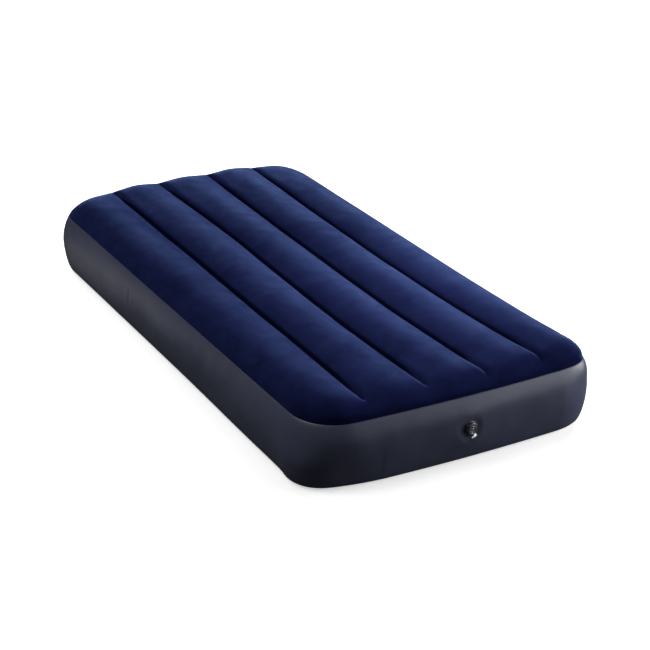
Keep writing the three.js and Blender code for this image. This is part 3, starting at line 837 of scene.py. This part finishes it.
def flock():
    mat = Material("flocked_velvet_navy")
    # nap: where the pile lies lighter or darker
    cloud = mat.noise(scale=8.5, detail=5, rough=0.6, warp=0.8)
    long_coords = mat.stretched(scale=(34, 9, 30), turn=0.35)
    streak = mat.noise(scale=1, detail=4, rough=0.6, warp=0.4, vector=long_coords)
    mottle = mat.noise(scale=26, detail=4, rough=0.62, warp=0.5)
    # shares of the three noises
    cloud_part = mat.math("MULTIPLY", cloud, 0.55)
    blotches = mat.math("ADD", cloud_part, mat.math("MULTIPLY", streak, 0.10))
    blotches = mat.math("MULTIPLY_ADD", mottle, 0.35, blotches)
    nap = mat.ramp(blotches, start=0.38, end=0.62)
    fibre = mat.noise(scale=1500, detail=2, rough=0.7)
    grain = mat.noise(scale=320, detail=3, rough=0.7)
    base = mat.mix(nap, a=(0.0040, 0.0056, 0.0290), b=(0.0072, 0.0098, 0.0460))
    base = mat.mix(mat.math("MULTIPLY", grain, 0.3), a=base, b=(0.0090, 0.0120, 0.052))
    tint = mat.mix(nap, a=(0.165, 0.280, 0.68), b=(0.275, 0.440, 0.95))
    # sheen weight: 0.86, up to 0.12 more with the nap, varied by the fibres
    sheen = mat.math("MULTIPLY_ADD", nap, 0.12, 0.86)
    sheen = mat.math("MULTIPLY_ADD", mat.centred(fibre), 0.25, sheen)
    # the welds crush the flock to a thin dark line over each beam, with a ragged edge; the line is
    # widened into painted shade of the groove's crease
    weld = mat.node("ShaderNodeAttribute", attribute_name="crushed_flock_and_groove_shade").outputs["Fac"]
    line = mat.math("MULTIPLY_ADD", mat.centred(mottle), 0.4, weld)
    line = mat.math("MULTIPLY", mat.ramp(line, start=0.05, end=0.6), weld)
    line = mat.ramp(line, start=0.0, end=0.55)
    # a full line of crushed flock and painted groove shade takes away 0.9 of the sheen
    keep = mat.math("SUBTRACT", 1.0, mat.math("MULTIPLY", line, 0.9))
    sheen = mat.math("MULTIPLY", sheen, keep)
    # short pile: seen edge on it goes dark again
    facing = mat.node("ShaderNodeLayerWeight")
    facing.inputs["Blend"].default_value = 0.5
    edge_on = mat.ramp(facing.outputs["Facing"], start=0.70, end=0.97, low=1.0, high=0.35)
    sheen = mat.math("MULTIPLY", sheen, edge_on)
    # the same line darkens the base colour: crushed flock and painted groove shade
    base = mat.mix(mat.math("MULTIPLY", line, 0.85), a=base, b=(0.0006, 0.0008, 0.0040))
    # relief: fibres and grain in these shares, then mottle and cloud
    fibre_part = mat.math("MULTIPLY", fibre, 0.6)
    pile = mat.math("ADD", fibre_part, mat.math("MULTIPLY", grain, 0.5))
    normal = mat.bump(pile, strength=0.5, distance=0.0006)
    normal = mat.bump(mottle, strength=0.10, distance=0.0010, normal=normal)
    normal = mat.bump(cloud, strength=0.12, distance=0.0020, normal=normal)
    return mat.finish(
        Base_Color=base, Roughness=0.95, Specular_IOR_Level=0.0, Sheen_Weight=sheen,
        Sheen_Roughness=0.25, Sheen_Tint=tint, Normal=normal,
    )


def vinyl(name, dark, light, rough):
    mat = Material(name)
    cloud = mat.noise(scale=5.5, detail=4, rough=0.55, warp=0.5)
    flat_coords = mat.stretched(scale=(26, 26, 70))
    scuff = mat.noise(scale=1, detail=5, rough=0.65, warp=0.2, vector=flat_coords)
    # shares of cloud and scuff
    cloud_part = mat.math("MULTIPLY", cloud, 0.65)
    wear = mat.math("ADD", cloud_part, mat.math("MULTIPLY", scuff, 0.35))
    wear = mat.ramp(wear, start=0.34, end=0.68)
    grain = mat.noise(scale=1100, detail=2, rough=0.6)
    pebble = mat.node("ShaderNodeTexVoronoi")
    mat.put(pebble.inputs["Vector"], mat.coords)
    pebble.inputs["Scale"].default_value = 620
    color = mat.mix(wear, a=dark, b=light)
    # roughness: 0.05 either way with wear, 0.06 with grain
    roughness = mat.math("MULTIPLY_ADD", wear, 0.10, rough - 0.05)
    roughness = mat.math("MULTIPLY_ADD", mat.centred(grain), 0.12, roughness)
    normal = mat.bump(pebble.outputs["Distance"], strength=0.10, distance=0.0004)
    normal = mat.bump(grain, strength=0.12, distance=0.0003, normal=normal)
    normal = mat.bump(cloud, strength=0.35, distance=0.004, normal=normal)
    normal = mat.bump(scuff, strength=0.12, distance=0.0016, normal=normal)
    return mat.finish(Base_Color=color, Roughness=roughness, Specular_IOR_Level=0.46, Normal=normal)


def plastic(name, color, rough, coat=0.0, clear=0.0, ior=1.49):
    mat = Material(name)
    cloud = mat.noise(scale=90, detail=3, rough=0.6)
    grain = mat.noise(scale=1800, detail=2, rough=0.6)
    lighter = tuple(min(1, c * 1.35 + 0.003) for c in color)
    base = mat.mix(mat.ramp(cloud, start=0.35, end=0.7), a=color, b=lighter)
    # roughness varies by 0.06 either way
    roughness = mat.math("MULTIPLY_ADD", cloud, 0.12, rough - 0.06)
    normal = mat.bump(grain, strength=0.15, distance=0.0001)
    return mat.finish(
        Base_Color=base, Roughness=roughness, Specular_IOR_Level=0.5, Coat_Weight=coat,
        Coat_Roughness=0.12, Transmission_Weight=clear, IOR=ior, Normal=normal,
    )


FLOCK = flock()
BAND = vinyl("band_vinyl_grey", (0.058, 0.064, 0.110), (0.072, 0.080, 0.138), rough=0.44)
BOTTOM = vinyl("bottom_vinyl_grey", (0.022, 0.023, 0.031), (0.030, 0.031, 0.040), rough=0.5)
BEAM = vinyl("beam_vinyl", (0.10, 0.105, 0.13), (0.13, 0.135, 0.16), rough=0.5)
STRIP = vinyl("weld_strip_vinyl", (0.07, 0.075, 0.095), (0.09, 0.095, 0.12), rough=0.45)
HOUSING = plastic("valve_plastic_black", (0.010, 0.010, 0.014), rough=0.30, coat=0.35)
SEAL = plastic("gasket_rubber_black", (0.02, 0.02, 0.021), rough=0.6)
FLAP = plastic("flap_soft_vinyl", (0.42, 0.44, 0.46), rough=0.3, clear=0.25)
# near white and opaque: partly the vinyl's own pale tone, partly a painted highlight for the glint
# on the clear vinyl
TETHER = plastic("tether_pale_vinyl_painted_glint", (0.90, 0.90, 0.97), rough=0.16, coat=0.6, ior=1.45)
CAP = plastic("cap_plastic_black", (0.038, 0.038, 0.050), rough=0.30, coat=0.35)
# also used on the tether ring and the collar's lug as painted shade
COLLAR = plastic("collar_plastic_black", (0.016, 0.016, 0.018), rough=0.30, coat=0.25)


def set_material(ob, material):
    ob.data.materials.clear()
    ob.data.materials.append(material)


def register(ob, material, body=None, nodes=()):
    """Give a piece its material, the body it rides and the CAD nodes it replaces."""
    set_material(ob, material)
    if body:
        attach(ob, body)
    if nodes:
        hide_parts(*nodes)


register(top, FLOCK, "envelope", ["top_sheet"])
register(band, BAND, "envelope", ["side_band"])
register(bottom, BOTTOM, "envelope", ["bottom_sheet"])
# the tether ring and the collar's ring and lug take dark plastic: painted shade where these pieces
# lie in shade and between the strap highlights; the straps take the pale tether vinyl, partly a
# painted glint
register(tether_ring, COLLAR, "envelope")
register(tether_strap, TETHER, nodes=["valve_tether"])
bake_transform(tether_strap)
register(collar_ring, COLLAR, "collar", ["tether_collar"])
register(collar_lug, COLLAR, "collar")
register(collar_strap, TETHER, "collar")
register(cap_body, CAP, "cap", ["valve_cap"])
register(cap_strap, TETHER, "cap")
register(cap_tab, CAP, "cap")

# CAD pieces get a material by slot, and softened edges
SLOT_MATERIALS = {
    "beam_pvc": BEAM,
    "weld_strip_pvc": STRIP,
    "valve_plastic": HOUSING,
    "gasket_rubber": SEAL,
    "flap_plastic": FLAP,
    "tether_plastic": TETHER,
}
slot_of = {part["node"]: part["material_slot"] for part in frame["record"]["subparts"]}
for name, ob in frame["nodes"].items():
    if slot_of[name] in SLOT_MATERIALS:
        set_material(ob, SLOT_MATERIALS[slot_of[name]])
        ob.data.shade_smooth()
        bevel = ob.modifiers.new("Edges", "BEVEL")
        bevel.width = 0.00022
        bevel.segments = 2
        bevel.limit_method = "ANGLE"
        bevel.angle_limit = math.radians(38)
        bevel.harden_normals = True

# ------------------------------------------------------------------ floor
FLOOR_HALF, FLOOR_Z = 40, -0.0007
floor_corners = [(-1, -1), (1, -1), (1, 1), (-1, 1)]
floor = make_object(
    "floor", [(x * FLOOR_HALF, y * FLOOR_HALF, FLOOR_Z) for x, y in floor_corners], [(0, 1, 2, 3)]
)
pale = Material("floor_pale")
pale_noise = pale.noise(scale=3.0, detail=3)
pale.finish(
    Base_Color=pale.mix(pale_noise, a=(0.80, 0.80, 0.80), b=(0.82, 0.82, 0.82)),
    Roughness=0.9,
    Specular_IOR_Level=0.1,
    Emission_Color=(1.0, 1.0, 1.0),
    Emission_Strength=0.56,
)
floor.data.materials.append(pale.material)
floor.visible_diffuse = False
floor.visible_glossy = False


# ------------------------------------------------------------------ world: white to the camera
def background(nodes, color, strength):
    node = nodes.new("ShaderNodeBackground")
    node.inputs[0].default_value = (*color, 1)
    node.inputs[1].default_value = strength
    return node.outputs[0]


world = bpy.data.worlds.new("studio")
scene.world = world
world.use_nodes = True
nodes, links = world.node_tree.nodes, world.node_tree.links
nodes.clear()
world_output = nodes.new("ShaderNodeOutputWorld")
seen = background(nodes, color=(1, 1, 1), strength=1.0)
ambient = background(nodes, color=(0.95, 0.97, 1.0), strength=0.045)
light_path = nodes.new("ShaderNodeLightPath")
blend = nodes.new("ShaderNodeMixShader")
links.new(light_path.outputs["Is Camera Ray"], blend.inputs[0])
links.new(ambient, blend.inputs[1])
links.new(seen, blend.inputs[2])
links.new(blend.outputs[0], world_output.inputs[0])


# ------------------------------------------------------------------ lights
def area(name, at, size, power, target=(0, 0, 0.15), color=(1, 1, 1)):
    light = bpy.data.lights.new(name, "AREA")
    light.shape = "RECTANGLE"
    light.size = light.size_y = size
    light.energy = power
    light.color = color
    ob = bpy.data.objects.new(name, light)
    ob.location = at
    ob.rotation_euler = (Vector(target) - Vector(at)).to_track_quat("-Z", "Y").to_euler()
    scene.collection.objects.link(ob)
    return ob


def link_group(name, *objects):
    group = bpy.data.collections.new(name)
    for ob in objects:
        group.objects.link(ob)
    return group


# the two back lights rake the flock; the band is screened from them, or its far sides would glare
screened = link_group("screened_from_back_lights", band)
screened.collection_objects[0].light_linking.link_state = "EXCLUDE"
for light in (
    area("back", at=(0.0, 5.0, 2.5), size=2.4, power=215),
    area("back_right_low", at=(3.5, 2.5, 1.3), size=1.8, power=285),
):
    light.light_linking.receiver_collection = screened
area("left_high", at=(-2.6, 0.3, 4.0), size=2.4, power=92)
# only the sheets, band and floor shade this one
right_front = area("right_front", at=(4.0, -1.5, 1.3), size=1.8, power=140)
area("front_right", at=(3.0, -3.0, 1.3), size=1.8, power=32)
right_front.light_linking.blocker_collection = link_group(
    "shades_side_light", top, band, bottom, floor
)
area("front_low", at=(1.5, -4.0, 0.8), size=1.4, power=2)
area("front_right_high", at=(2.6, -3.6, 3.0), size=1.6, power=12, target=(0.25, -0.5, 0.2))
# a narrow box for the flock, aimed at the foot half
grid = area(
    "foot_grid", at=(1.4, 0.2, 2.3), size=0.45, power=3.8,
    target=(0.20, -0.36, 0.2), color=(0.95, 1.0, 0.84),
)
grid.data.spread = math.radians(34)
grid.light_linking.receiver_collection = link_group("lit_by_foot_grid", top)
# the white floor's bounce on the band's far left: two weak boxes, the second below the floor
left_far = link_group("lit_by_left_far", band)
for light in (
    area("left_far", at=(-1.10, 1.20, 0.05), size=0.4, power=0.38, target=(-0.47, 0.80, 0.04)),
    area("left_far_low", at=(-1.00, 1.50, -0.30), size=0.4, power=0.32, target=(-0.46, 0.92, 0.05)),
):
    light.visible_camera = False
    light.light_linking.receiver_collection = left_far
    light.light_linking.blocker_collection = left_far
# a small kicker for the valve
kicker = area(
    "valve_kicker", at=(0.70, -1.55, 0.52), size=0.22, power=9.5,
    target=tuple(VALVE), color=(0.93, 0.95, 1.0),
)
kicker.visible_camera = False
kicker.light_linking.receiver_collection = link_group(
    "lit_by_kicker", tether_ring, tether_strap, collar_ring, collar_lug, collar_strap,
    cap_body, cap_strap, cap_tab, frame["nodes"]["valve_housing"],
)

# ------------------------------------------------------------------ camera
camera_data = bpy.data.cameras.new("camera")
camera = bpy.data.objects.new("camera", camera_data)
scene.collection.objects.link(camera)
camera_data.sensor_fit = "HORIZONTAL"
camera_data.sensor_width = 36
camera_data.lens = 96.862
camera_data.shift_x = 0.00854
camera_data.shift_y = 0.01123
camera_data.clip_end = 200
# where it looks from, in radians: azimuth from -y towards +x, and height above level
azimuth, elevation = -0.4945, 0.4358
backward = Vector((
    math.sin(azimuth) * math.cos(elevation),
    -math.cos(azimuth) * math.cos(elevation),
    math.sin(elevation),
))
camera.location = (-2.30602556, -4.40057511, 2.31346887)
camera.rotation_euler = (-backward).to_track_quat("-Z", "Y").to_euler()
scene.camera = camera
scene.view_settings.view_transform = "Standard"
scene.view_settings.look = "None"
